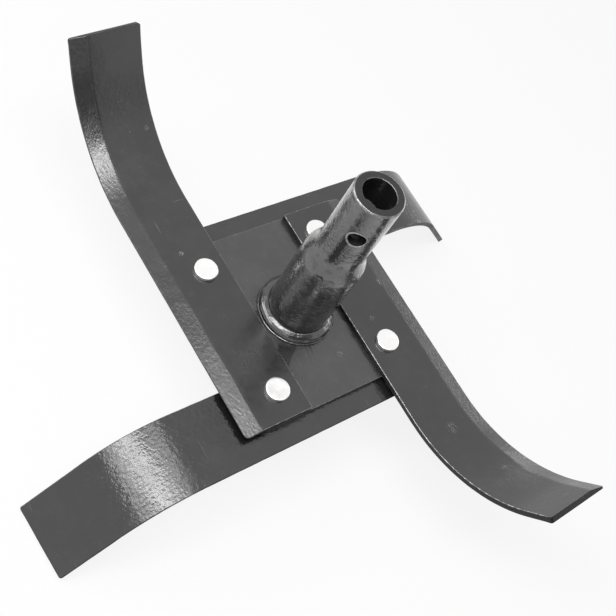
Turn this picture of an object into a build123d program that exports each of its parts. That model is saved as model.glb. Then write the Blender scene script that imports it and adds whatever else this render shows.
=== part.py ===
from build123d import *
from math import radians, tan
import os

# A four-bladed tine for a rotary tiller. A square plate is welded to a swaged hub tube and
# carries two blades on its hub side and two on its back, each pair bent away from the plate,
# and four rivets each hold one upper and one lower blade. Sizes are in millimetres. The hub's
# axis is Z, its narrow open end is up, and the tine stands on its two lower tips at Z = 0.

# Plate
plate_side = 117.5
plate_thickness = 4.0
plate_corner_radius = 3.0
rivet_pitch = 82.5              # between neighbouring rivets, along X and along Y

# Hub tube: a wide foot in the plate, swaged down to a narrow end that takes the shaft
hub_length = 125.5              # from the plate's back face to the open end
foot_outer_diameter = 37.4
foot_bore_diameter = 29.8
end_outer_diameter = 29.0
shaft_bore_diameter = 19.05
shoulder_start = 61.0           # from the plate's back face
shoulder_length = 20.0
rim_chamfer = 0.8
bore_chamfer = 0.6
pin_hole_diameter = 10.0
pin_hole_from_end = 23.5
pin_hole_direction = 44.7       # degrees from +X, seen from above

# Weld round the foot of the tube, on the hub side of the plate
weld_leg = 5.6

# Blades: flat bars with one ground edge and one bend near the tip
blade_width = 45.0
blade_thickness = 3.6
rivet_to_trailing_edge = 14.4
ground_width = 10.8             # of the bevel along the leading edge
ground_nose = 1.0               # thickness left at the leading edge
root_corner_radius = 3.0
tip_corner_radius = 1.5

upper_bend_from_plate = 31.25   # from the plate's edge, along the blade
upper_bend_radius = 95.0        # outside of the bend
upper_bend_angle = 57.3
upper_tip_length = 17.0
upper_tip_skew = 2.5            # degrees off square, longer at the trailing edge

lower_bend_from_plate = 44.75
lower_bend_radius = 63.0
lower_bend_angle = 47.9
lower_tip_length = 43.6
lower_tip_skew = 3.0

# Rivets: set flat on the hub side, a cone-shaped factory head on the back
rivet_shank_diameter = 8.0
rivet_head_diameter = 14.6
set_head_height = 2.4
set_head_chamfer = 0.8
factory_head_height = 4.2
factory_head_end_diameter = 8.6

# Clearances, each measured on the radius
tube_in_plate_clearance = 0.1
weld_on_tube_clearance = 0.03
rivet_in_hole_clearance = 0.08

# Derived places
rivet_offset = rivet_pitch / 2
plate_edge = plate_side / 2
trailing_edge = -rivet_offset + rivet_to_trailing_edge
leading_edge = trailing_edge - blade_width
foot_outer_radius = foot_outer_diameter / 2


def rivet_hole(depth):
    """Cutter for one rivet hole, standing on Z = 0."""
    hole_radius = rivet_shank_diameter / 2 + rivet_in_hole_clearance
    return Cylinder(hole_radius, depth, align=(Align.CENTER, Align.CENTER, Align.MIN))


def make_plate():
    """The plate, with its back face on Z = 0."""
    outline = RectangleRounded(plate_side, plate_side, plate_corner_radius)
    plate = extrude(outline, plate_thickness)
    tube_hole_radius = foot_outer_radius + tube_in_plate_clearance
    plate -= Cylinder(tube_hole_radius, plate_thickness, align=(Align.CENTER, Align.CENTER, Align.MIN))
    for x in (-rivet_offset, rivet_offset):
        for y in (-rivet_offset, rivet_offset):
            plate -= Pos(x, y, 0) * rivet_hole(plate_thickness)
    return plate


def make_hub_outside():
    """The hub tube's outside as a solid bar along Z, narrowing in a smooth shoulder."""
    end_radius = end_outer_diameter / 2
    shoulder_middle = shoulder_start + shoulder_length / 2
    shoulder_end = shoulder_start + shoulder_length
    shoulder = Bezier(
        (foot_outer_radius, shoulder_start),
        (foot_outer_radius, shoulder_middle),
        (end_radius, shoulder_middle),
        (end_radius, shoulder_end),
    )
    straight_sides = Polyline(
        (end_radius, shoulder_end),
        (end_radius, hub_length),
        (0, hub_length),
        (0, 0),
        (foot_outer_radius, 0),
        (foot_outer_radius, shoulder_start),
    )
    outside = revolve(Plane.XZ * make_face([shoulder, straight_sides]), Axis.Z)
    return chamfer(outside.edges().group_by(Axis.Z)[-1], rim_chamfer)


def make_hub_tube():
    """The hub tube, with its foot on Z = 0 and the cross hole for its pin near the open end."""
    upright = (Align.CENTER, Align.CENTER, Align.MIN)
    foot_bore_radius = foot_bore_diameter / 2
    shaft_bore_radius = shaft_bore_diameter / 2
    tube = make_hub_outside()
    tube -= Cylinder(shaft_bore_radius, hub_length, align=upright)
    tube -= Cylinder(foot_bore_radius, shoulder_start, align=upright)
    tube -= Pos(0, 0, shoulder_start) * Cone(
        foot_bore_radius, shaft_bore_radius, shoulder_length, align=upright
    )
    mouth_edge = tube.edges().group_by(Axis.Z)[-1].sort_by(SortBy.RADIUS)[0]
    tube = chamfer(mouth_edge, bore_chamfer)
    pin_hole = Rot(0, 90, 0) * Cylinder(pin_hole_diameter / 2, 2 * end_outer_diameter)
    pin_hole = Rot(0, 0, pin_hole_direction) * pin_hole
    return tube - Pos(0, 0, hub_length - pin_hole_from_end) * pin_hole


def make_hub_weld():
    """The fillet weld round the tube, standing on Z = 0."""
    root_radius = foot_outer_radius + weld_on_tube_clearance
    bead = Polyline(
        (root_radius, 0),
        (root_radius + weld_leg, 0),
        (root_radius, weld_leg),
        close=True,
    )
    return revolve(Plane.XZ * make_face(bead), Axis.Z)


def blade_bar(length):
    """A straight length of ground bar along +Y from Y = 0, with its flat face on Z = 0."""
    section = Polyline(
        (trailing_edge, 0),
        (trailing_edge, blade_thickness),
        (leading_edge + ground_width, blade_thickness),
        (leading_edge, ground_nose),
        (leading_edge, 0),
        close=True,
    )
    return extrude(Plane.XZ * make_face(section), -length)


def make_blade(bend_start, bend_radius, bend_angle, tip_length, tip_skew):
    """A blade along +Y that bends up at bend_start, measured from the hub's axis."""
    root_length = bend_start + plate_edge
    root_outline = Polyline(
        (trailing_edge, bend_start),
        (trailing_edge, -plate_edge),
        (leading_edge, -plate_edge),
        (leading_edge, bend_start),
        close=True,
    )
    root_face = make_face(root_outline)
    root_corner = root_face.vertices().group_by(Axis.Y)[0].sort_by(Axis.X)[0]
    root_face = fillet(root_corner, root_corner_radius)
    root = Pos(0, -plate_edge, 0) * blade_bar(root_length) & extrude(root_face, blade_thickness)

    bend_axis = Axis((0, bend_start, bend_radius), (1, 0, 0))
    bend_section = blade_bar(1).faces().sort_by(Axis.Y)[0]
    bend = revolve(Pos(0, bend_start, 0) * bend_section, bend_axis, bend_angle)

    half_skew = tan(radians(tip_skew)) * blade_width / 2
    tip_outline = Polyline(
        (trailing_edge, 0),
        (trailing_edge, tip_length + half_skew),
        (leading_edge, tip_length - half_skew),
        (leading_edge, 0),
        close=True,
    )
    tip_face = make_face(tip_outline)
    tip_face = fillet(tip_face.vertices().sort_by(Axis.Y)[-2:], tip_corner_radius)
    tip = blade_bar(tip_length + half_skew) & extrude(tip_face, blade_thickness)
    tip = Pos(0, bend_start, bend_radius) * Rot(bend_angle, 0, 0) * Pos(0, 0, -bend_radius) * tip

    blade = root + bend + tip
    for y in (-rivet_offset, rivet_offset):
        blade -= Pos(-rivet_offset, y, 0) * rivet_hole(blade_thickness)
    return blade


def make_rivet():
    """A rivet whose factory head bears on Z = 0 from below and whose shank fills the stack."""
    grip = plate_thickness + 2 * blade_thickness
    head_radius = rivet_head_diameter / 2
    end_radius = factory_head_end_diameter / 2
    upright = (Align.CENTER, Align.CENTER, Align.MIN)
    hanging = (Align.CENTER, Align.CENTER, Align.MAX)
    set_head = Cylinder(head_radius, set_head_height, align=upright)
    set_head = chamfer(set_head.edges().group_by(Axis.Z)[-1], set_head_chamfer)
    factory_head = Cone(end_radius, head_radius, factory_head_height, align=hanging)
    shank = Cylinder(rivet_shank_diameter / 2, grip, align=upright)
    return factory_head + shank + Pos(0, 0, grip) * set_head


def build():
    """All pieces in place, by name."""
    upper_blade = make_blade(
        plate_edge + upper_bend_from_plate,
        upper_bend_radius,
        upper_bend_angle,
        upper_tip_length,
        upper_tip_skew,
    )
    lower_blade = make_blade(
        plate_edge + lower_bend_from_plate,
        lower_bend_radius,
        lower_bend_angle,
        lower_tip_length,
        lower_tip_skew,
    )
    lower_blade = Rot(0, 0, 90) * mirror(lower_blade, Plane.XY)

    plate_back = -lower_blade.bounding_box().min.Z
    plate_front = plate_back + plate_thickness
    half_turn = Rot(0, 0, 180)
    pieces = {
        "plate": Pos(0, 0, plate_back) * make_plate(),
        "hub_tube": Pos(0, 0, plate_back) * make_hub_tube(),
        "hub_weld": Pos(0, 0, plate_front) * make_hub_weld(),
        "upper_blade_1": Pos(0, 0, plate_front) * upper_blade,
        "upper_blade_2": Pos(0, 0, plate_front) * half_turn * upper_blade,
        "lower_blade_1": Pos(0, 0, plate_back) * lower_blade,
        "lower_blade_2": Pos(0, 0, plate_back) * half_turn * lower_blade,
    }
    rivet_corners = [(-1, 1), (-1, -1), (1, -1), (1, 1)]
    rivet_base = plate_back - blade_thickness
    for number, (side_x, side_y) in enumerate(rivet_corners, start=1):
        place = Pos(side_x * rivet_offset, side_y * rivet_offset, rivet_base)
        pieces[f"rivet_{number}"] = place * make_rivet()
    return pieces


os.makedirs("parts", exist_ok=True)
for name, shape in build().items():
    export_step(shape, f"parts/{name}.step")
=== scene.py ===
from math import atan2, cos, exp, hypot, pi, radians, sin, sqrt, tan

import bmesh
import bpy
from mathutils import Euler, Matrix, Vector, noise


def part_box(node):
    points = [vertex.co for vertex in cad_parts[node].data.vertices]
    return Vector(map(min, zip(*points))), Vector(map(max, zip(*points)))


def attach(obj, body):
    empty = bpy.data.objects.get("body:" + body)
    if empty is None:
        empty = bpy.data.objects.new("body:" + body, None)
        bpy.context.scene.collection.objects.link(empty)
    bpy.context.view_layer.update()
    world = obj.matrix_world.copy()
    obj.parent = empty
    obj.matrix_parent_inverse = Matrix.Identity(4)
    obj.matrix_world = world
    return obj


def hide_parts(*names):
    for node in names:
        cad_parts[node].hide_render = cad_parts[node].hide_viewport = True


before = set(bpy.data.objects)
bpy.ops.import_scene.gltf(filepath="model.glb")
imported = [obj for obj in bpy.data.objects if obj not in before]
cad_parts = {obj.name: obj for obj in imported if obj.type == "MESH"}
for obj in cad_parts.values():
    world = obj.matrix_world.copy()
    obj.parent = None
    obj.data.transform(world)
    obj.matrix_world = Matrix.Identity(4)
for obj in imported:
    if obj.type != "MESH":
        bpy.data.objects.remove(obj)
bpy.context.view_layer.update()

# The looks of the tiller tine. Sizes are in millimetres, as in the part's own source, and each
# mesh is scaled to metres when it is made. Floor, lights and camera are in metres.
MM = 0.001

# Plate
plate_side = 117.5
plate_thickness = 4.0
plate_corner_radius = 3.0
plate_edge_rounding = 0.4
rivet_pitch = 82.5
rivet_offset = rivet_pitch / 2
plate_edge = plate_side / 2
plate_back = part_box("plate")[0][2] / MM
plate_front = plate_back + plate_thickness

# Hub tube, with heights from the plate's back
hub_length = 125.5
foot_outer_radius = 18.7
foot_bore_radius = 14.9
foot_rounding = 0.4
end_outer_radius = 14.5
shaft_bore_radius = 9.525
shoulder_start = 61.0
shoulder_length = 20.0
shoulder_end = shoulder_start + shoulder_length
rim_width = 0.8                    # of the rounding outside the open end
mouth_rounding = 0.6
pin_hole_radius = 5.0
pin_hole_from_end = 23.5
pin_hole_height = hub_length - pin_hole_from_end
pin_hole_direction = radians(224.7)
pin_axis = Vector((cos(pin_hole_direction), sin(pin_hole_direction), 0))
seam_direction = radians(207)      # the tube's own seam, seen at its mouth and below the hole
tube_columns = 192
tube_noise_radius = 14             # of the circle on which the tube's noise is read
tube_in_plate_clearance = 0.1
tube_faces = ("outside", "end", "inside", "seam")  # in the order of the tube's paints

# Weld
weld_leg = 5.6
weld_bulge = 1.1
weld_on_tube_clearance = 0.03
lap_from, lap_to = radians(-25), radians(-60)      # where the run starts and stops
fullest_weld = radians(190)
weld_noise_radius = 20

# Blades
blade_width = 45.0
blade_thickness = 3.6
rivet_to_trailing_edge = 14.4
trailing_edge = -rivet_offset + rivet_to_trailing_edge
leading_edge = trailing_edge - blade_width
ground_width = 10.8
ground_nose = 1.0
root_corner_radius = 3.0
tip_corner_radius = 1.5
arris = 0.45                       # rounding of the sheared and ground edges under the paint
row_spacing = 2.5

# The two forms of blade: where the bend starts along it, the bend's outer radius and angle, the
# straight length after it, and how far the tip's end is off square
upper_form = dict(
    upper=True, start=plate_edge + 31.25, radius=95.0, angle=radians(57.3), tip=17.0,
    skew=radians(2.5)
)
lower_form = dict(
    upper=False, start=plate_edge + 44.75, radius=63.0, angle=radians(47.9), tip=43.6,
    skew=radians(3.0)
)

# Rivets
rivet_hole_radius = 4.08
rivet_shank_radius = 4.0
rivet_head_radius = 7.3
set_head_height = 2.4
factory_head_height = 4.2
rivet_grip = plate_thickness + 2 * blade_thickness

# Camera, solved from the photograph in the row frame
camera_place = (-0.32525, -0.16454, 0.55948)
camera_turn = (30.753, -20.919, -33.039)
camera_lens = 60.907
sensor_width = 36

# Studio: the room's even light, the direction of its one side that mirrors darker, and the soft
# boxes, each with the directions of its two ends from the object, width, radiance and distance
room_light = 0.18
dark_side = (-0.05, -0.80, 0.60)
light_aim = (0, 0, 0.08)
soft_boxes = [
    ("softbox_over", (-0.80, 0.44, 1.0), (0.05, -0.35, 1.0), 0.27, 9.6, 1.3),
    ("softbox_left", (-0.60, 0.17, 0.78), (-0.80, 0.17, 0.57), 0.36, 3.8, 1.3),
    ("softbox_back", (-0.66, 0.44, 0.62), (-0.28, 0.80, 0.53), 0.26, 6.5, 1.3),
    ("softbox_front", (-0.52, -0.24, 0.82), (-0.28, -0.58, 0.77), 0.15, 5.0, 1.3),
    ("softbox_right", (0.90, 0.20, 0.12), (0.85, -0.42, 0.12), 0.22, 3.8, 1.3),
    ("softbox_low", (0.76, 0.65, 0.05), (0.90, 0.42, 0.05), 0.20, 3.2, 1.3),
    ("softbox_near", (-0.17, 0.03, 0.445), (-0.015, 0.08, 0.465), 0.11, 3.2, 0.475),
]


# Helpers for shapes

def wander(*place):
    """Smooth noise between about -1 and 1 at a place in units of its own feature size."""
    place = list(place) + [0.0] * (3 - len(place))
    return noise.noise(Vector(place))


def waves(*place):
    """The same noise between about 0 and 1."""
    return 0.5 + 0.5 * wander(*place)


def smooth_step(low, high, value):
    """0 at low, 1 at high, with a smooth change between. Low may be the larger number."""
    t = min(max((value - low) / (high - low), 0.0), 1.0)
    return t * t * (3 - 2 * t)


def hill(value, centre, width):
    """1 at the centre, falling to 0 on both sides."""
    return exp(-(((value - centre) / width) ** 2))


def turn_between(a, b):
    """Smallest turn from one direction to another."""
    return (a - b + pi) % (2 * pi) - pi


def on_circle(a, radius):
    """The x and y of a place on a circle."""
    return radius * cos(a), radius * sin(a)


def closed_pairs(items):
    """Each item with the next one, and the last with the first."""
    return list(zip(items, list(items[1:]) + [items[0]]))


def strip_faces(first, second):
    """Faces between two closed loops of points."""
    pairs = zip(closed_pairs(first), closed_pairs(second))
    return [(a, b, d, c) for (a, b), (c, d) in pairs]


def loops_of(count, size, start=0):
    """The indices of points that are stored loop after loop."""
    return [range(start + i * size, start + (i + 1) * size) for i in range(count)]


def new_mesh(name, points, faces):
    """A mesh from points in millimetres."""
    mesh = bpy.data.meshes.new(name)
    mesh.from_pydata([tuple(c * MM for c in p) for p in points], [], faces)
    return mesh


def add_object(name, data):
    """A new object in the scene."""
    thing = bpy.data.objects.new(name, data)
    bpy.context.scene.collection.objects.link(thing)
    return thing


def write_smooth(work, mesh):
    """Writes a bmesh to a mesh, with smooth faces and normals that point outward."""
    bmesh.ops.recalc_face_normals(work, faces=work.faces)
    for face in work.faces:
        face.smooth = True
    work.to_mesh(mesh)
    work.free()


def add_piece(name, mesh, material, node=None):
    """Puts a mesh into the scene as a visible piece, in place of a CAD node where one is named."""
    mesh.materials.append(material)
    piece = add_object(name, mesh)
    if node:
        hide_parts(node)
    return piece


def make_piece(name, points, faces, material, slot, node=None, **attributes):
    """A visible piece from points in millimetres, with named values at its points."""
    mesh = new_mesh(name, points, faces)
    for attribute, values in attributes.items():
        mesh.attributes.new(attribute, "FLOAT", "POINT").data.foreach_set("value", values)
    work = bmesh.new()
    work.from_mesh(mesh)
    write_smooth(work, mesh)
    return add_piece(name, mesh, material, node)


def cylinder_cutter(radius, low, high, count):
    """A plain closed cylinder along Z, used only to cut holes."""
    turns = [2 * pi * i / count for i in range(count)]
    points = [(*on_circle(a, radius), z) for z in (low, high) for a in turns]
    lower, upper = loops_of(2, count)
    faces = strip_faces(lower, upper) + [tuple(reversed(lower)), tuple(upper)]
    return add_object("cutter", new_mesh("cutter", points, faces))


def cut(piece, cutters):
    """Cuts the cutters out of a piece for good, and removes them."""
    for cutter in cutters:
        step = piece.modifiers.new("cut", "BOOLEAN")
        step.operation = "DIFFERENCE"
        step.solver = "EXACT"
        step.object = cutter
    bpy.context.view_layer.update()
    graph = bpy.context.evaluated_depsgraph_get()
    mesh = bpy.data.meshes.new_from_object(piece.evaluated_get(graph))
    piece.modifiers.clear()
    old = piece.data
    piece.data = mesh
    mesh.name = piece.name
    mesh.set_sharp_from_angle(angle=radians(50))
    bpy.data.meshes.remove(old)
    for cutter in cutters:
        bpy.data.meshes.remove(cutter.data)


def finish_piece(piece):
    """Shades flat faces flat, and lets the piece ride on the body."""
    weighted = piece.modifiers.new("weighted_normals", "WEIGHTED_NORMAL")
    weighted.mode = "FACE_AREA"
    weighted.weight = 90
    weighted.keep_sharp = True
    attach(piece, "root")


# Materials

class Nodes:
    """A short way to write a node tree."""

    def __init__(self, tree):
        self.tree = tree

    def add(self, kind, **values):
        node = self.tree.nodes.new(kind)
        for key, value in values.items():
            setattr(node, key, value)
        return node

    def link(self, source, target):
        """Links a socket to an input, or sets the input where the source is a plain value."""
        if isinstance(source, (int, float, tuple)):
            target.default_value = source
        else:
            self.tree.links.new(source, target)

    def math(self, operation, a, b, clamp=False):
        node = self.add("ShaderNodeMath", operation=operation, use_clamp=clamp)
        self.link(a, node.inputs[0])
        self.link(b, node.inputs[1])
        return node.outputs[0]

    def ramp(self, value, low, high, to_low=0.0, to_high=1.0, interpolation="SMOOTHSTEP"):
        """A value brought from one range to another, and held at its ends."""
        node = self.add("ShaderNodeMapRange", clamp=True, interpolation_type=interpolation)
        self.link(value, node.inputs["Value"])
        ends = {"From Min": low, "From Max": high, "To Min": to_low, "To Max": to_high}
        for name, number in ends.items():
            node.inputs[name].default_value = number
        return node.outputs["Result"]

    def blend(self, share, first, second):
        """The first shader where the share is 0, the second where it is 1."""
        node = self.add("ShaderNodeMixShader")
        self.link(share, node.inputs[0])
        self.link(first, node.inputs[1])
        self.link(second, node.inputs[2])
        return node.outputs[0]


class SurfaceNodes(Nodes):
    """The nodes of one material of the object, around its Principled shader."""

    def __init__(self, name):
        self.material = bpy.data.materials.new(name)
        self.material.use_nodes = True
        super().__init__(self.material.node_tree)
        self.shader = self.tree.nodes["Principled BSDF"]
        self.place = self.add("ShaderNodeTexCoord").outputs["Object"]

    def attribute(self, name):
        return self.add("ShaderNodeAttribute", attribute_name=name).outputs["Fac"]

    def stretched(self, scale, degrees=0):
        """The place on the part, turned about Z and scaled, for drawn-out patterns."""
        node = self.add("ShaderNodeMapping")
        self.link(self.place, node.inputs["Vector"])
        node.inputs["Scale"].default_value = scale
        node.inputs["Rotation"].default_value = (0, 0, radians(degrees))
        return node.outputs[0]

    def noise(self, size_mm, detail, roughness, place=None):
        """Noise with features of about a size in millimetres."""
        node = self.add("ShaderNodeTexNoise")
        self.link(place or self.place, node.inputs["Vector"])
        node.inputs["Scale"].default_value = 1 / (size_mm * MM)
        node.inputs["Detail"].default_value = detail
        node.inputs["Roughness"].default_value = roughness
        return node.outputs["Fac"]

    def mix(self, amount, a, b):
        """A mix of two colours. The colour inputs of the mix node are its seventh and eighth."""
        node = self.add("ShaderNodeMix", data_type="RGBA")
        self.link(amount, node.inputs["Factor"])
        self.link(a, node.inputs[6])
        self.link(b, node.inputs[7])
        return node.outputs[2]

    def bump(self, height, depth_mm, strength, under=None):
        """A bump of a depth in millimetres, on top of another one where given."""
        node = self.add("ShaderNodeBump")
        node.inputs["Strength"].default_value = strength
        node.inputs["Distance"].default_value = depth_mm * MM
        self.link(height, node.inputs["Height"])
        if under is not None:
            self.link(under, node.inputs["Normal"])
        return node.outputs["Normal"]

    def near(self, centre, reach_mm):
        """1 at a place on the part, falling to 0 at the reach."""
        node = self.add("ShaderNodeVectorMath", operation="DISTANCE")
        self.link(self.place, node.inputs[0])
        self.link(tuple(c * MM for c in centre), node.inputs[1])
        return self.ramp(node.outputs["Value"], 0.35 * reach_mm * MM, reach_mm * MM, 1.0, 0.0)


def grey(value, warm=0.0):
    """A grey, slightly warm where asked."""
    return (value * (1 + warm), value, value * (1 - warm), 1.0)


def paint_marks(n, cloud, scuffs):
    """Fine scratches in some areas, and scuffs given as (place, reach, strength, degrees)."""
    scratch_strength = 0.22
    one_way = n.noise(1.0, 1, 0.5, n.stretched((1.1, 0.035, 1.0), 24))
    other_way = n.noise(1.0, 1, 0.5, n.stretched((0.05, 1.3, 1.0), -12))
    scratches = n.math("MAXIMUM", n.ramp(one_way, 0.74, 0.77), n.ramp(other_way, 0.75, 0.78))
    scratches = n.math("MULTIPLY", scratches, n.ramp(cloud, 0.46, 0.62), clamp=True)
    marks = n.math("MULTIPLY", scratches, scratch_strength)
    for centre, reach, strength, degrees in scuffs:
        streaks = n.noise(reach * 0.18, 2, 0.6, n.stretched((1.0, 0.3, 1.0), degrees))
        spot = n.math("MULTIPLY", n.ramp(streaks, 0.5, 0.62), n.near(centre, reach))
        marks = n.math("MAXIMUM", marks, n.math("MULTIPLY", spot, strength))
    return marks


def black_paint(
    name, base=0.0125, roughness=(0.13, 0.23), ior=1.75, peel=1.0, grain=0.0, coat=0.0,
    steel_and_highlight_strength=0.35, ground=0.0, scuffs=()
):
    """Black paint with clouds, dust, orange peel, marks, rubbed edges and painted edge highlights.

    base is the paint's own grey, roughness its lowest and highest. Peel is the strength of the
    orange peel, grain that of lumps in the paint and ground that of the grinding marks on a
    bevel, which is also given a lighter grey as a painted sheen. Coat is a clear gloss where the
    piece isn't dull. One more amount sets how far edges go towards a steel grey: partly
    uncovered steel where the paint is rubbed off, partly a painted highlight line along them.
    """
    n = SurfaceNodes(name)
    cloud = n.noise(28, 3, 0.55)
    patch = n.noise(7, 4, 0.6)
    speck = n.noise(0.42, 1, 0.5)
    marks = paint_marks(n, cloud, scuffs)
    bevel = n.attribute("ground") if ground else None
    dull = n.attribute("dull") if grain else None

    dust_strength, bevel_painted_sheen = 0.22, 0.8
    colour = n.mix(n.ramp(cloud, 0.35, 0.68), grey(base * 0.8), grey(base * 1.2))
    colour = n.mix(n.ramp(patch, 0.52, 0.75, 0.0, 0.4), colour, grey(base * 1.6, 0.02))
    dust = n.math("MULTIPLY", n.ramp(speck, 0.68, 0.75), n.ramp(patch, 0.48, 0.62), clamp=True)
    colour = n.mix(n.math("MULTIPLY", dust, dust_strength), colour, grey(0.2))
    colour = n.mix(marks, colour, grey(0.45, 0.01))
    # Painted sheen: the ground bevel is painted a lighter grey, in place of its brighter shine.
    if ground:
        colour = n.mix(n.math("MULTIPLY", bevel, bevel_painted_sheen), colour, grey(base * 2.6))
    # Edges go towards steel grey: rubbed-through paint, and also a painted highlight line along the
    # arrises.
    rub_and_highlight_edges = n.ramp(n.attribute("edge_wear"), 0.45, 0.95)
    chips = n.ramp(n.noise(2.2, 3, 0.65), 0.40, 0.66, 0.25, 1.0)
    bare_steel_and_highlight = n.math("MULTIPLY", rub_and_highlight_edges, chips, clamp=True)
    colour = n.mix(n.math("MULTIPLY", bare_steel_and_highlight, steel_and_highlight_strength), colour, grey(0.6, 0.01))
    n.link(colour, n.shader.inputs["Base Color"])

    roughness_of_marks, roughness_where_dull = 0.3, 0.25
    clouds = n.math("ADD", n.math("MULTIPLY", cloud, 0.6), n.math("MULTIPLY", patch, 0.4))
    rough = n.ramp(clouds, 0.35, 0.65, *roughness)
    rough = n.math("ADD", rough, n.math("MULTIPLY", marks, roughness_of_marks), clamp=True)
    if grain:
        rough = n.math("ADD", rough, n.math("MULTIPLY", dull, roughness_where_dull), clamp=True)
    n.link(rough, n.shader.inputs["Roughness"])
    n.shader.inputs["IOR"].default_value = ior

    normal = n.bump(n.noise(9, 2, 0.5), 0.2, 0.6)
    normal = n.bump(n.noise(1.9, 2, 0.5), 0.22 * peel, 1.0, normal)
    normal = n.bump(n.noise(0.8, 2, 0.5), 0.04 * peel, 0.8, normal)
    if grain:
        areas = n.ramp(n.noise(6, 2, 0.5), 0.42, 0.6, 0.15, 1.0)
        lumps = n.math("MULTIPLY", n.noise(1.5, 4, 0.7), areas)
        normal = n.bump(lumps, 0.3 * grain, 1.0, normal)
    if ground:
        lengthwise = n.noise(1.3, 3, 0.6, n.stretched((1.0, 0.5, 0.5)))
        normal = n.bump(n.math("MULTIPLY", lengthwise, bevel), 0.2 * ground, 1.0, normal)
    normal = n.bump(marks, -0.04, 0.6, normal)
    n.link(normal, n.shader.inputs["Normal"])
    if coat:
        glossy = n.math("SUBTRACT", 1.0, dull)
        n.link(n.math("MULTIPLY", glossy, coat), n.shader.inputs["Coat Weight"])
        n.shader.inputs["Coat Roughness"].default_value = 0.07
        n.link(normal, n.shader.inputs["Coat Normal"])
    return n.material


def plated_steel(name):
    """Bright plated rivet steel with dull patches, specks and small dents."""
    n = SurfaceNodes(name)
    patch = n.noise(3.5, 4, 0.6)
    speck = n.noise(0.6, 2, 0.6)
    colour = n.mix(n.ramp(patch, 0.35, 0.7), grey(0.9, 0.004), grey(0.8, 0.01))
    colour = n.mix(n.ramp(speck, 0.68, 0.78, 0.0, 0.5), colour, grey(0.35, 0.02))
    n.link(colour, n.shader.inputs["Base Color"])
    n.shader.inputs["Metallic"].default_value = 1.0
    n.link(n.ramp(patch, 0.3, 0.7, 0.3, 0.5), n.shader.inputs["Roughness"])
    normal = n.bump(n.noise(2.4, 2, 0.5), 0.12, 0.4)
    normal = n.bump(speck, 0.03, 0.5, normal)
    n.link(normal, n.shader.inputs["Normal"])
    return n.material


# Blades. A blade is laid out on its flat blank, by the distance from the leading edge (d) and
# the distance along from the hub's axis, and each point is then bent into the blade's form.

def corner_steps(radius):
    """Distances from an edge at which a rounded corner needs a column of points."""
    return [arris + (radius - arris) * (1 - cos(radians(a))) for a in (0, 18, 36, 54, 72, 90)]


def blade_columns():
    """Distances from the leading edge of the columns of points across a blade."""
    least_gap = 0.06
    near = corner_steps(root_corner_radius) + corner_steps(tip_corner_radius)
    far = [blade_width - d for d in corner_steps(tip_corner_radius)]
    beside_grind = [4.4, 6.2, 8.0, 9.3, 10.1, 10.8, 11.5, 12.3, 13.6, 15.4, 17.6]
    over_flat = [20 + 2.4 * i for i in range(10)]
    columns = sorted(near + beside_grind + over_flat + far)
    kept = [columns[0]]
    for column in columns[1:]:
        if column - kept[-1] > least_gap:
            kept.append(column)
    return kept


def corner_inset(from_edge, radius):
    """How far a rounded corner draws a blade's end back at a distance from its long edge."""
    if from_edge >= radius:
        return 0.0
    inner = radius - arris
    return inner - sqrt(max(inner**2 - (radius - from_edge) ** 2, 0.0))


def blade_grid(form):
    """Rows of places (d, along) on the blank, from the root to the skewed tip."""
    columns = blade_columns()
    bend_length = form["radius"] * form["angle"]
    rows = int((plate_edge + form["start"] + bend_length + form["tip"]) / row_spacing)
    ends = []
    for d in columns:
        root = -plate_edge + arris + corner_inset(d, root_corner_radius)
        skewed = tan(form["skew"]) * (d - blade_width / 2)
        inset = corner_inset(min(d, blade_width - d), tip_corner_radius)
        tip = form["start"] + bend_length + form["tip"] + skewed - arris - inset
        ends.append((root, tip))
    grid = []
    for i in range(rows + 1):
        t = i / rows
        grid.append([(d, root * (1 - t) + tip * t) for d, (root, tip) in zip(columns, ends)])
    return grid


def blade_height(d, along, seed):
    """Thickness of the blank, with a softened and slightly uneven grind."""
    softness, ripple_depth = 0.12, 0.03
    drop = (blade_thickness - ground_nose) / ground_width * (d - ground_width)
    ripple = ripple_depth * wander(along / 9, d / 14, seed) * smooth_step(ground_width, 4.0, d)
    return blade_thickness + (drop - sqrt(drop**2 + softness**2)) / 2 + min(ripple, 0.0)


def grind_shift(d, along, seed):
    """How far a column moves with the wandering start of the grind."""
    reach = smooth_step(2.0, 9.0, d) * (1 - smooth_step(12.5, 17.0, d))
    return reach * (0.45 * wander(along / 24, seed, 3.1) + 0.14 * wander(along / 6, seed, 8.2))


def bend(form, d, along, rise):
    """A point of the blank in the bent blade: x across, y along, z away from its flat face."""
    x = leading_edge + d
    past = along - form["start"]
    if past <= 0:
        return (x, along, rise)
    turn = min(past / form["radius"], form["angle"])
    left = past - turn * form["radius"]
    arm = form["radius"] - rise
    y = form["start"] + arm * sin(turn) + left * cos(turn)
    z = form["radius"] - arm * cos(turn) + left * sin(turn)
    return (x, y, z)


def rounded_edge(angle, at_top, thick, squareness):
    """Reach and height at an angle round the upper or lower rounding of a blade's edge."""
    a = radians(angle)
    across, upright = abs(sin(a)) ** squareness, abs(cos(a)) ** squareness
    deep = min(arris, 0.46 * thick)
    if at_top:
        return arris * across, thick - deep * (1 - upright)
    return arris * upright, deep * (1 - across)


def grid_rim(last_row, last):
    """The rows and columns of the places round the edge of a grid, in order."""
    rim = [(0, j) for j in range(last)] + [(i, last) for i in range(last_row)]
    rim += [(last_row, j) for j in range(last, 0, -1)] + [(i, 0) for i in range(last_row, 0, -1)]
    return rim


def outward_at(grid, rim, k):
    """The way outward at a place on a grid's rim, from the places before and after it."""
    (i0, j0), (i1, j1) = rim[k - 1], rim[(k + 1) % len(rim)]
    d0, along0 = grid[i0][j0]
    d1, along1 = grid[i1][j1]
    return Vector((along1 - along0, -(d1 - d0))).normalized()


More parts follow.
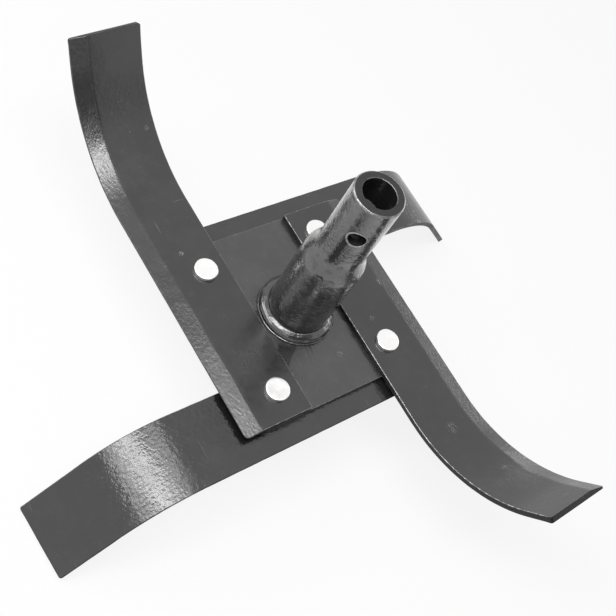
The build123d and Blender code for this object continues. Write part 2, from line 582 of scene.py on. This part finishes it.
def blade_points(form, seed, trailing_rub_and_highlight):
    """A blade's closed surface: points, faces, edge lightening and grind at each point, paint of
    each face.
    """
    grind_margin = 0.2
    least_worn, most_worn = 0.01, 0.16
    grid = blade_grid(form)
    last_row, last = len(grid) - 1, len(grid[0]) - 1
    points, faces, edge, ground = [], [], [], []
    top, bottom = {}, {}
    for i, row in enumerate(grid):
        for j, (d, along) in enumerate(row):
            # How far each point is lightened towards steel grey at the edges: rubbed paint and a
            # painted highlight line, strongest along the trailing edge.
            on_edge = 0.0
            if j == last:
                on_edge = 0.9 * trailing_rub_and_highlight
            elif j == 0 or i in (0, last_row):
                on_edge = 0.5
            moved = d + grind_shift(d, along, seed)
            top[i, j], bottom[i, j] = len(points), len(points) + 1
            points.append(bend(form, moved, along, blade_height(d, along, seed)))
            points.append(bend(form, d, along, 0.0))
            edge += [on_edge, on_edge]
            ground += [1.0 if d < ground_width - grind_margin else 0.0, 0.0]
    for i in range(last_row):
        for j in range(last):
            faces.append((top[i, j], top[i, j + 1], top[i + 1, j + 1], top[i + 1, j]))
            faces.append((bottom[i, j], bottom[i + 1, j], bottom[i + 1, j + 1], bottom[i, j + 1]))

    rim = grid_rim(last_row, last)
    loops = [[top[p] for p in rim]]
    for angle, at_top in [(30, True), (60, True), (90, True), (0, False), (30, False), (60, False)]:
        loops.append(range(len(points), len(points) + len(rim)))
        for k, (i, j) in enumerate(rim):
            d, along = grid[i][j]
            outward = outward_at(grid, rim, k)
            squareness = 0.5 if i in (0, last_row) else 1.0
            thick = blade_height(d, along, seed)
            out, rise = rounded_edge(angle, at_top, thick, squareness)
            worn_back = least_worn + most_worn * max(wander(d / 7, along / 7, seed + 5), 0.0)
            out -= worn_back * (out / arris)
            points.append(bend(form, d + outward[0] * out, along + outward[1] * out, rise))
            # The rounding's lightening: rubbed paint and a painted highlight line along the arris.
            share = 0.55
            if i == last_row:
                share = 0.5
            elif j == last:
                share = trailing_rub_and_highlight
            elif i == 0:
                share = 0.75
            edge.append((1.0 if angle in (30, 60) else 0.3) * share)
            ground.append(0.0)
    loops.append([bottom[p] for p in rim])

    cut_sides = [0] * len(faces)
    at_tip = [a[0] == last_row and b[0] == last_row for a, b in closed_pairs(rim)]
    for step, (first, second) in enumerate(zip(loops, loops[1:])):
        faces += strip_faces(first, second)
        cut_sides += [1 if step >= 2 or (step == 1 and tip) else 0 for tip in at_tip]
    return points, faces, edge, ground, cut_sides


def make_blade(name, node, form, seed, material, side_material, turned=False, trailing_rub_and_highlight=1.0):
    """One blade in place, with its two rivet holes."""
    upper, way = form["upper"], -1 if turned else 1
    points, faces, edge, ground, cut_sides = blade_points(form, seed, trailing_rub_and_highlight)
    if upper:
        placed = [(way * x, way * y, plate_front + z) for x, y, z in points]
    else:
        placed = [(way * -y, way * x, plate_back - z) for x, y, z in points]
    blade = make_piece(
        name, placed, faces, material, "black_paint", node, edge_wear=edge, ground=ground
    )
    blade.data.materials.append(side_material)
    blade.data.polygons.foreach_set("material_index", cut_sides)

    margin = 1
    low = plate_front - margin if upper else plate_back - blade_thickness - margin
    cutters = []
    for side in (-1, 1):
        x, y = -rivet_offset, side * rivet_offset
        if not upper:
            x, y = y, x
        cutter = cylinder_cutter(rivet_hole_radius, low, low + blade_thickness + 2 * margin, 48)
        cutter.location = (way * x * MM, way * y * MM, 0)
        cutters.append(cutter)
    cut(blade, cutters)
    finish_piece(blade)


# Plate

def plate_outline():
    """Points inside the plate's edge by its corner radius, each with the way outward."""
    inner = plate_edge - plate_corner_radius
    corners = [(inner, inner), (-inner, inner), (-inner, -inner), (inner, -inner)]
    ways = [(0, 1), (-1, 0), (0, -1), (1, 0)]
    outline = []
    for quarter, ((x, y), (next_x, next_y)) in enumerate(closed_pairs(corners)):
        for k in range(9):
            a = radians(90 * quarter + 90 * k / 8)
            outline.append((x, y, cos(a), sin(a)))
        for k in range(1, 24):
            t = k / 24
            outline.append((x + (next_x - x) * t, y + (next_y - y) * t, *ways[quarter]))
    return outline


def plate_profile():
    """Reach and height of each loop round the plate's edge, from its front to its back."""
    rounding = plate_edge_rounding
    profile = [(0.0, plate_thickness)]
    for a in (30, 60, 90):
        rise = plate_thickness - rounding * (1 - cos(radians(a)))
        profile.append((rounding * sin(radians(a)), rise))
    for a in (0, 30, 60):
        profile.append((rounding * cos(radians(a)), rounding * (1 - sin(radians(a)))))
    profile.append((0.0, 0.0))
    return profile


def make_plate(material):
    """The square plate with sheared, rounded edges, the tube's hole and four rivet holes."""
    rounding, most_worn = plate_edge_rounding, 0.12
    work = bmesh.new()
    wear = work.verts.layers.float.new("edge_wear")

    def vertex(x, y, rise):
        return work.verts.new((x * MM, y * MM, (plate_back + rise) * MM))

    def edges_of(loop):
        return [work.edges.get(pair) for pair in closed_pairs(loop)]

    loops = []
    for out, rise in plate_profile():
        loop = []
        for x, y, way_x, way_y in plate_outline():
            worn_back = most_worn * max(wander(x / 9, y / 9, 2.5), 0.0) * (out / rounding)
            reach = plate_corner_radius - rounding + out - worn_back
            vert = vertex(x + way_x * reach, y + way_y * reach, rise)
            # The rounded edge is lightened towards steel grey: rubbed paint and a painted highlight
            # line.
            vert[wear] = 1.0 if 0 < out < rounding else 0.3
            loop.append(vert)
        loops.append(loop)
    for first, second in zip(loops, loops[1:]):
        for face in strip_faces(first, second):
            work.faces.new(face)

    top_edges, bottom_edges = edges_of(loops[0]), edges_of(loops[-1])
    holes = [(0.0, 0.0, foot_outer_radius + tube_in_plate_clearance, 120)]
    for x in (-rivet_offset, rivet_offset):
        for y in (-rivet_offset, rivet_offset):
            holes.append((x, y, rivet_hole_radius, 48))
    for x, y, radius, count in holes:
        turns = [2 * pi * k / count for k in range(count)]
        upper, lower = [
            [vertex(x + radius * cos(a), y + radius * sin(a), rise) for a in turns]
            for rise in (plate_thickness, 0.0)
        ]
        for face in strip_faces(upper, lower):
            work.faces.new(face)
        top_edges += edges_of(upper)
        bottom_edges += edges_of(lower)
    bmesh.ops.triangle_fill(work, use_beauty=True, edges=top_edges)
    bmesh.ops.triangle_fill(work, use_beauty=True, edges=bottom_edges)
    mesh = bpy.data.meshes.new("square_plate")
    write_smooth(work, mesh)
    finish_piece(add_piece("square_plate", mesh, material, "plate"))


# Hub tube

def shoulder_radius(z):
    """Outside radius of the swaged tube, which follows the same Bezier curve as the CAD."""
    if z <= shoulder_start:
        return foot_outer_radius
    if z >= shoulder_end:
        return end_outer_radius
    t = (z - shoulder_start) / shoulder_length
    s = t
    for _ in range(6):
        s -= (1.5 * s - 1.5 * s**2 + s**3 - t) / (1.5 - 3 * s + 3 * s**2)
    return foot_outer_radius + (end_outer_radius - foot_outer_radius) * s * s * (3 - 2 * s)


def seam_strip(a, z):
    """1 on the rough strip of the tube's seam, 0.6 on the dark blots below it, 0 elsewhere.

    The strip runs from the shoulder up to the cross hole, and the blots lie on the shoulder.
    """
    across =abs(turn_between(a, seam_direction) * end_outer_radius)
    x, y = on_circle(a, tube_noise_radius)
    strip = smooth_step(75.0, 78.0, z) * (1 - smooth_step(98.5, 100.0, z))
    strip *= 1 - smooth_step(1.1, 2.2, across)
    blots = smooth_step(0.1, 0.3, wander(x / 3.5, y / 3.5, z / 3 + 11))
    blots *= smooth_step(62, 65, z)
    blots *= 1 - smooth_step(76, 79, z)
    return max(strip, 0.6 * blots * (1 - smooth_step(7, 9, across)))


def tube_surface(a, z):
    """Small hollows of the tube's outside, never above its nominal size, and its dullness."""
    x, y = on_circle(a, tube_noise_radius)
    shoulder = smooth_step(50, 62, z) * (1 - smooth_step(84, 98, z))
    wide_hollows = (0.05 + 0.05 * smooth_step(55, 65, z)) * waves(x / 9, y / 9, z / 12)
    small_hollows = 0.16 * shoulder * waves(x / 4, y / 4, z / 5 + 7)
    strip = seam_strip(a, z)
    rough = wander(x / 1.1, y / 1.1, z / 1.3) + 0.6 * wander(x / 0.6, y / 0.6, z / 0.7 + 4)
    beside = turn_between(a, pin_hole_direction) * end_outer_radius
    from_hole = hypot(beside, z - pin_hole_height) - pin_hole_radius
    in_strip = strip * (-0.45 + 0.5 * rough) * smooth_step(0.3, 1.8, from_hole)
    return min(in_strip - wide_hollows - small_hollows, 0.0), strip


def mouth_flash(a, z):
    """Height of the lump of flash that the seam leaves inside the mouth."""
    away = turn_between(a, seam_direction - radians(6)) * shaft_bore_radius
    lump = 1 - smooth_step(1.9, 3.9, abs(away + 0.4 * wander(z / 2, 1.0)))
    lump *= 1 - smooth_step(4.0, 9.0, hub_length - z)
    return 1.25 * lump * (1 + 0.15 * wander(away / 1.2, z / 1.5, 5))


def tube_profile():
    """Radius, height and kind of each loop, up the tube's outside and down its inside."""
    coarse_step, fine_step, fine_from = 2.2, 0.8, 57.6
    profile = []
    for a in (0, 45):
        radius = foot_outer_radius - foot_rounding + foot_rounding * sin(radians(a))
        profile.append((radius, foot_rounding - foot_rounding * cos(radians(a)), "plain"))
    profile += [(None, foot_rounding + coarse_step * k, "outside") for k in range(26)]
    fine_count = int((hub_length - rim_width - fine_from) / fine_step) + 1
    profile += [(None, fine_from + fine_step * k, "outside") for k in range(fine_count)]

    rim = [(0.0, 0.98), (0.03, 0.86), (0.12, 0.7), (0.42, 0.4), (0.6, 0.23), (0.8, 0.08)]
    rim.append((1.05, 0.0))
    profile += [(end_outer_radius - inset, hub_length - below, "plain") for inset, below in rim]
    profile += [(end_outer_radius - rim_width - 0.8 * k, hub_length, "plain") for k in (1, 2, 3)]
    for a in (0, 22, 45, 68, 90):
        radius = shaft_bore_radius + mouth_rounding - mouth_rounding * sin(radians(a))
        z = hub_length - mouth_rounding + mouth_rounding * cos(radians(a))
        profile.append((radius, z, "bore"))
    for depth in (0.8, 1.7, 2.7, 3.8, 5.0, 6.5, 8.5, 11.0, 14.0, 17.0, 20.0, 24.0, 28.0, 32.0):
        profile.append((shaft_bore_radius, hub_length - mouth_rounding - depth, "bore"))

    profile.append((shaft_bore_radius, shoulder_end, "plain"))
    taper_steps, foot_step = 6, 8.3
    for k in range(1, taper_steps):
        radius = shaft_bore_radius + (foot_bore_radius - shaft_bore_radius) * k / taper_steps
        profile.append((radius, shoulder_end - shoulder_length * k / taper_steps, "plain"))
    profile += [(foot_bore_radius, shoulder_start - foot_step * k, "plain") for k in range(8)]
    for outward, z in ((0.0, 0.4), (0.12, 0.12), (0.4, 0.0)):
        profile.append((foot_bore_radius + outward, z, "plain"))
    return profile


def tube_face(middle):
    """Which of the tube's paints is on the face with this middle.

    The end's paint goes on over the rim and some way into the mouth, apart from the mouth's
    rounding on the side that is glossy in the photograph.
    """
    end_depth, painted_depth, wall_depth, hole_slack = 0.1, 9, 1.2, 0.02
    seam_from = 76.0
    from_axis = hypot(middle.x, middle.y)
    up = middle.z - plate_back
    from_pin_axis = hypot(middle.x * pin_axis.y - middle.y * pin_axis.x, up - pin_hole_height)
    inside = from_axis < end_outer_radius - wall_depth
    in_mouth = up > hub_length - mouth_rounding and from_axis < shaft_bore_radius + mouth_rounding
    glossy_side = middle.x + 0.4 * middle.y > 2.0
    if in_mouth and glossy_side:
        return "outside"
    if up > hub_length - end_depth or (inside and up > hub_length - painted_depth):
        return "end"
    if inside or from_pin_axis < pin_hole_radius + hole_slack:
        return "inside"
    ragged = max(0.4 + 0.8 * wander(middle.x / 1.6, middle.y / 1.6, up / 0.9), 0.1)
    if up > seam_from and seam_strip(atan2(middle.y, middle.x), up) > ragged:
        return "seam"
    return "outside"


def make_tube(material, end_material, inner_material, seam_material):
    """The swaged hub tube, with its seam, the cross hole and the flash inside its mouth."""
    rim_depth, rim_inside, rim_wear = 1.0, 13.5, 0.8
    points, faces, edge, dull = [], [], [], []
    profile = tube_profile()
    for radius, z, kind in profile:
        for k in range(tube_columns):
            a = 2 * pi * k / tube_columns
            r, strip, sink = radius, 0.0, 0.0
            if kind == "outside":
                rise, strip = tube_surface(a, z)
                r = shoulder_radius(z) + rise
            elif kind == "bore":
                r -= mouth_flash(a, z)
            elif z > hub_length - rim_depth:
                r = min(r + 0.05 * wander(*on_circle(a, 3), z), end_outer_radius)
            if z >= hub_length - 0.01:
                sink = 0.09 * waves(*on_circle(a, 2.2), r / 3)
            points.append((*on_circle(a, r), plate_back + z - sink))
            on_rim = hub_length - rim_depth < z < hub_length and radius > rim_inside
            edge.append(rim_wear if on_rim else 0.0)
            dull.append(strip)
    for first, second in closed_pairs(loops_of(len(profile), tube_columns)):
        faces += strip_faces(first, second)
    tube = make_piece(
        "swaged_tube", points, faces, material, "black_paint", "hub_tube", edge_wear=edge, dull=dull
    )

    cutter = cylinder_cutter(pin_hole_radius, -2 * end_outer_radius, 2 * end_outer_radius, 80)
    turn = pin_axis.to_track_quat("Z", "Y").to_matrix().to_4x4()
    cutter.matrix_world = Matrix.Translation((0, 0, (plate_back + pin_hole_height) * MM)) @ turn
    cut(tube, [cutter])
    for paint in (end_material, inner_material, seam_material):
        tube.data.materials.append(paint)
    for face in tube.data.polygons:
        face.material_index = tube_faces.index(tube_face(face.center / MM))
    finish_piece(tube)


def make_hole_lips(material):
    """The raised burr round each end of the cross hole, as one piece."""
    points, faces = [], []
    around, section = 96, 8
    strongest, wear = radians(235), 0.9
    over_hole, under_surface, root_depth = 0.08, 0.06, 0.35
    for way in (pin_hole_direction, pin_hole_direction + pi):
        loops = loops_of(around, section, len(points))
        out = Vector((cos(way), sin(way), 0))
        side = Vector((-sin(way), cos(way), 0))
        for i in range(around):
            a = 2 * pi * i / around
            strength = 0.55 + 0.45 * cos(a - strongest) + 0.12 * wander(*on_circle(a, 3), way)
            wide, high = 0.6 + 0.7 * strength, 0.12 + 0.36 * strength
            for k in range(section):
                t = 2 * pi * k / section
                reach = pin_hole_radius - over_hole + wide / 2 * (1 - cos(t))
                lift = sin(t) * (high if sin(t) > 0 else root_depth)
                across_tube = reach * cos(a)
                surface = sqrt(end_outer_radius**2 - across_tube**2) - under_surface
                p = side * across_tube + out * (surface + lift)
                points.append((p.x, p.y, plate_back + pin_hole_height + reach * sin(a)))
        for first, second in closed_pairs(loops):
            faces += strip_faces(first, second)
    # The whole burr is lightened towards steel grey as an edge: rubbed paint and a painted
    # highlight.
    rub_and_highlight_of_points = [wear] * len(points)
    lips = make_piece(
        "pin_hole_lips", points, faces, material, "black_paint", edge_wear=rub_and_highlight_of_points
    )
    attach(lips, "root")


# Weld

def weld_swell(a, t):
    """How far the bead stands out of a flat fillet at a direction and a share t of its height."""
    x, y = on_circle(a, weld_noise_radius)
    full = 0.5 + 0.5 * cos(a - fullest_weld)
    swell = weld_bulge * (0.35 + 0.65 * full) * sin(pi * t) ** 0.8
    toe = 0.3 * hill(t, 0.07, 0.035) - 0.22 * hill(t, 0.16, 0.035)
    swell += toe * (0.4 + 0.6 * full)
    ridges = t * 30 + 2.6 * wander(x / 9, y / 9, 3.0)
    swell += 0.035 * sin(ridges) * sin(pi * t)
    swell += (0.07 + 0.3 * (1 - full)) * wander(x / 3.5, y / 3.5, t * 4) * sin(pi * t)
    along = turn_between(a, lap_from) / turn_between(lap_to, lap_from)
    if -0.05 < along < 1.05:
        groove = 0.75 * hill(t, 0.12 + 0.22 * along, 0.055)
        swell -= groove * smooth_step(-0.05, 0.1, along) * (1 - smooth_step(0.9, 1.05, along))
    return swell


def make_weld(material):
    """The fillet weld's rippled bead, with the lap where its run starts and stops."""
    columns, steps = 300, 30
    inside = foot_outer_radius + weld_on_tube_clearance
    points, faces = [], []
    for i in range(columns):
        a = 2 * pi * i / columns
        x, y = on_circle(a, weld_noise_radius)
        leg_out = weld_leg - 0.5 * waves(x / 6, y / 6, 1.0)
        leg_up = weld_leg - 0.7 * waves(x / 7, y / 7, 9.0)
        for k in range(steps + 1):
            t = k / steps
            swell = weld_swell(a, t)
            r = min(inside + leg_out * (1 - t) + swell / sqrt(2), inside + weld_leg)
            z = max(leg_up * t + swell / sqrt(2), 0.0)
            points.append((*on_circle(a, r), plate_front + z))
        points.append((*on_circle(a, inside), plate_front))
    for first, second in closed_pairs(loops_of(columns, steps + 2)):
        pairs = zip(closed_pairs(first), closed_pairs(second))
        faces += [(a, c, d, b) for (a, b), (c, d) in pairs]
    finish_piece(make_piece("weld_bead", points, faces, material, "black_paint", "hub_weld"))


# Rivets

def rivet_profile():
    """Radius and height of each loop of a rivet, from the factory head up to the set head."""
    head, shank, grip = rivet_head_radius, rivet_shank_radius, rivet_grip
    rounding, pole, dish, dish_radius = 0.6, 0.02, 0.16, 6.4
    dome = (head**2 + factory_head_height**2) / (2 * factory_head_height)
    dome_steps = 12
    profile = []
    for k in range(dome_steps + 1):
        reach = head * sin(k / dome_steps * (pi / 2)) if k else pole
        profile.append((reach, -(sqrt(dome**2 - reach**2) - (dome - factory_head_height))))
    profile += [(shank + 0.3, 0.0), (shank, 0.25), (shank, grip - 0.25), (shank + 0.3, grip)]
    profile += [(head - 0.25, grip), (head - 0.05, grip + 0.2), (head, grip + 0.7)]
    for a in (0, 22, 45, 68, 90):
        reach = head - rounding + rounding * cos(radians(a)) - 0.03
        profile.append((reach, grip + set_head_height - rounding + rounding * sin(radians(a))))
    for reach in (5.8, 5.0, 4.0, 3.0, 2.0, 1.0, pole):
        profile.append((reach, grip + set_head_height - dish * (1 - (reach / dish_radius) ** 2)))
    return profile


def make_rivet(number, side_x, side_y, material):
    """One rivet: a flat, lightly dished set head, its shank, and a round factory head below."""
    columns = 96
    points, faces = [], []
    profile = rivet_profile()
    for reach, z in profile:
        for k in range(columns):
            a = 2 * pi * k / columns
            r, lift = reach, 0.0
            if z > rivet_grip:
                uneven = waves(*on_circle(a, 1.6), number * 3.7)
                dented = waves(reach * cos(a) / 2.6, reach * sin(a) / 2.6, number * 5.1)
                r -= 0.08 * uneven * smooth_step(5.0, 7.0, reach)
                lift = -0.10 * dented * smooth_step(rivet_grip + 1.2, rivet_grip + 2.2, z)
            x = side_x * rivet_offset + r * cos(a)
            y = side_y * rivet_offset + r * sin(a)
            points.append((x, y, plate_back - blade_thickness + z + lift))
    loops = loops_of(len(profile), columns)
    for first, second in zip(loops, loops[1:]):
        faces += strip_faces(first, second)
    faces += [tuple(reversed(loops[0])), tuple(loops[-1])]
    name, node = f"plated_rivet_{number}", f"rivet_{number}"
    finish_piece(make_piece(name, points, faces, material, "plated_steel", node))


# Floor, light and camera

def background_share(n):
    """1 for rays that should see a plain white background: camera, glossy and transmission."""
    path = n.add("ShaderNodeLightPath")
    total = path.outputs["Is Camera Ray"]
    for name in ("Is Glossy Ray", "Is Transmission Ray"):
        total = n.math("ADD", total, path.outputs[name], clamp=True)
    return total


def make_floor():
    """A wide pale floor just under the tips, near white to the camera, with a soft shadow."""
    half, under = 4.0, -0.0002
    corners = [(-half, -half), (half, -half), (half, half), (-half, half)]
    mesh = bpy.data.meshes.new("floor")
    mesh.from_pydata([(x, y, under) for x, y in corners], [], [(0, 1, 2, 3)])
    floor = add_object("floor", mesh)
    material = bpy.data.materials.new("floor")
    material.use_nodes = True
    n = Nodes(material.node_tree)
    n.tree.nodes.clear()
    output = n.add("ShaderNodeOutputMaterial")
    diffuse = n.add("ShaderNodeBsdfDiffuse")
    n.link(grey(0.86), diffuse.inputs["Color"])
    white = n.add("ShaderNodeEmission")
    n.link(grey(1.0), white.inputs["Color"])
    away = n.add("ShaderNodeVectorMath", operation="LENGTH")
    n.link(n.add("ShaderNodeNewGeometry").outputs["Position"], away.inputs[0])
    whiter_away = n.ramp(away.outputs["Value"], 0.5, 2.5, 0.85, 1.0, "LINEAR")
    share = n.math("MULTIPLY", background_share(n), whiter_away)
    surface = n.blend(share, diffuse.outputs[0], white.outputs[0])
    n.link(surface, output.inputs["Surface"])
    mesh.materials.append(material)


def make_world():
    """An even, dim room that looks white where it is seen or mirrored, with one darker side."""
    world = bpy.data.worlds.new("studio")
    bpy.context.scene.world = world
    world.use_nodes = True
    n = Nodes(world.node_tree)
    n.tree.nodes.clear()
    output = n.add("ShaderNodeOutputWorld")
    room = n.add("ShaderNodeBackground")
    n.link(grey(room_light), room.inputs["Color"])
    white = n.add("ShaderNodeBackground")
    towards = n.add("ShaderNodeVectorMath", operation="DOT_PRODUCT")
    n.link(n.add("ShaderNodeTexCoord").outputs["Generated"], towards.inputs[0])
    n.link(tuple(Vector(dark_side).normalized()), towards.inputs[1])
    n.link(n.ramp(towards.outputs["Value"], 0.85, 0.95, 1.0, 0.2), white.inputs["Color"])
    surface = n.blend(background_share(n), room.outputs[0], white.outputs[0])
    n.link(surface, output.inputs["Surface"])


def add_soft_box(name, low, high, width, radiance, distance):
    """A long soft light between two directions from the middle of the object, facing the object."""
    low, high = Vector(low).normalized() * distance, Vector(high).normalized() * distance
    light = bpy.data.lights.new(name, "AREA")
    light.shape = "RECTANGLE"
    light.size = (high - low).length
    light.size_y = width
    light.energy = radiance * pi * light.size * light.size_y
    middle = (low + high) / 2
    back = middle.normalized()
    along = (high - low).normalized()
    along = (along - back * along.dot(back)).normalized()
    turn = Matrix((along, back.cross(along), back)).transposed().to_4x4()
    add_object(name, light).matrix_world = Matrix.Translation(Vector(light_aim) + middle) @ turn


def make_camera():
    """The camera, where the photograph was taken from."""
    data = bpy.data.cameras.new("camera")
    data.sensor_width = sensor_width
    data.lens = camera_lens
    data.clip_start = 0.01
    camera = add_object("camera", data)
    camera.location = camera_place
    camera.rotation_euler = Euler([radians(a) for a in camera_turn], "XYZ")
    bpy.context.scene.camera = camera


# The object, with its scuffs where the photograph shows them

lower_paint = black_paint("lower_paint", steel_and_highlight_strength=0.12, ground=1.0)
upper_scuffs = [
    ((61.5, -4.8, 64), 3.0, 0.8, 20),
    ((41.4, -24.3, 64), 2.4, 0.5, 70),
    ((46.8, -105.3, 65.2), 4.6, 0.3, 30),
    ((52.8, -140.8, 79.4), 3.0, 0.25, 55),
    ((-32.8, 135.9, 76.3), 2.2, 0.35, 40),
    ((-49.5, 56.5, 64), 2.2, 0.6, 60),
]
upper_paint = black_paint(
    "upper_paint", base=0.0095, roughness=(0.17, 0.28), peel=0.35, steel_and_highlight_strength=0.9, ground=1.0,
    scuffs=upper_scuffs
)
plate_scuffs = [
    ((-26, 11, 60.4), 3.6, 0.35, 50),
    ((-30, 17, 60.4), 2.6, 0.25, -30),
    ((10, -36, 60.4), 3.0, 0.2, 60),
]
plate_paint = black_paint(
    "plate_paint", base=0.016, roughness=(0.24, 0.35), ior=1.87, peel=0.5, scuffs=plate_scuffs
)
hub_paint = black_paint("hub_paint", roughness=(0.16, 0.28), ior=1.9, peel=0.8, grain=0.7, coat=1.0)
# Painted highlight: the burr's paint is a much lighter grey, so that it reads as a bright line
# round the hole.
lip_highlight_paint = black_paint("lip_highlight_paint", base=0.10, roughness=(0.16, 0.28), ior=1.9, peel=0.6)
rim_paint = black_paint("rim_paint", base=0.016, roughness=(0.2, 0.32), ior=1.5, peel=0.7)
inner_paint = black_paint("inner_paint", base=0.01, roughness=(0.5, 0.65), ior=1.35, peel=1.2)
side_paint = black_paint(
    "side_paint", base=0.01, roughness=(0.3, 0.45), ior=1.35, peel=0.8, steel_and_highlight_strength=0.3
)
seam_paint = black_paint(
    "seam_paint", base=0.012, roughness=(0.3, 0.45), ior=1.4, peel=1.5, grain=0.7
)
weld_paint = black_paint("weld_paint", roughness=(0.14, 0.24), ior=1.9, peel=0.8)
rivet_steel = plated_steel("rivet_steel")

make_plate(plate_paint)
make_blade(
    "upper_tine_1", "upper_blade_1", upper_form, 11.3, upper_paint, side_paint, trailing_rub_and_highlight=0.7
)
make_blade("upper_tine_2", "upper_blade_2", upper_form, 27.9, upper_paint, side_paint, turned=True)
make_blade("lower_tine_1", "lower_blade_1", lower_form, 41.2, lower_paint, side_paint)
make_blade("lower_tine_2", "lower_blade_2", lower_form, 63.7, lower_paint, side_paint, turned=True)
make_tube(hub_paint, rim_paint, inner_paint, seam_paint)
make_hole_lips(lip_highlight_paint)
make_weld(weld_paint)
for number, (side_x, side_y) in enumerate([(-1, 1), (-1, -1), (1, -1), (1, 1)], start=1):
    make_rivet(number, side_x, side_y, rivet_steel)

make_floor()
make_world()
for soft_box in soft_boxes:
    add_soft_box(*soft_box)
make_camera()
bpy.context.scene.view_settings.view_transform = "Standard"
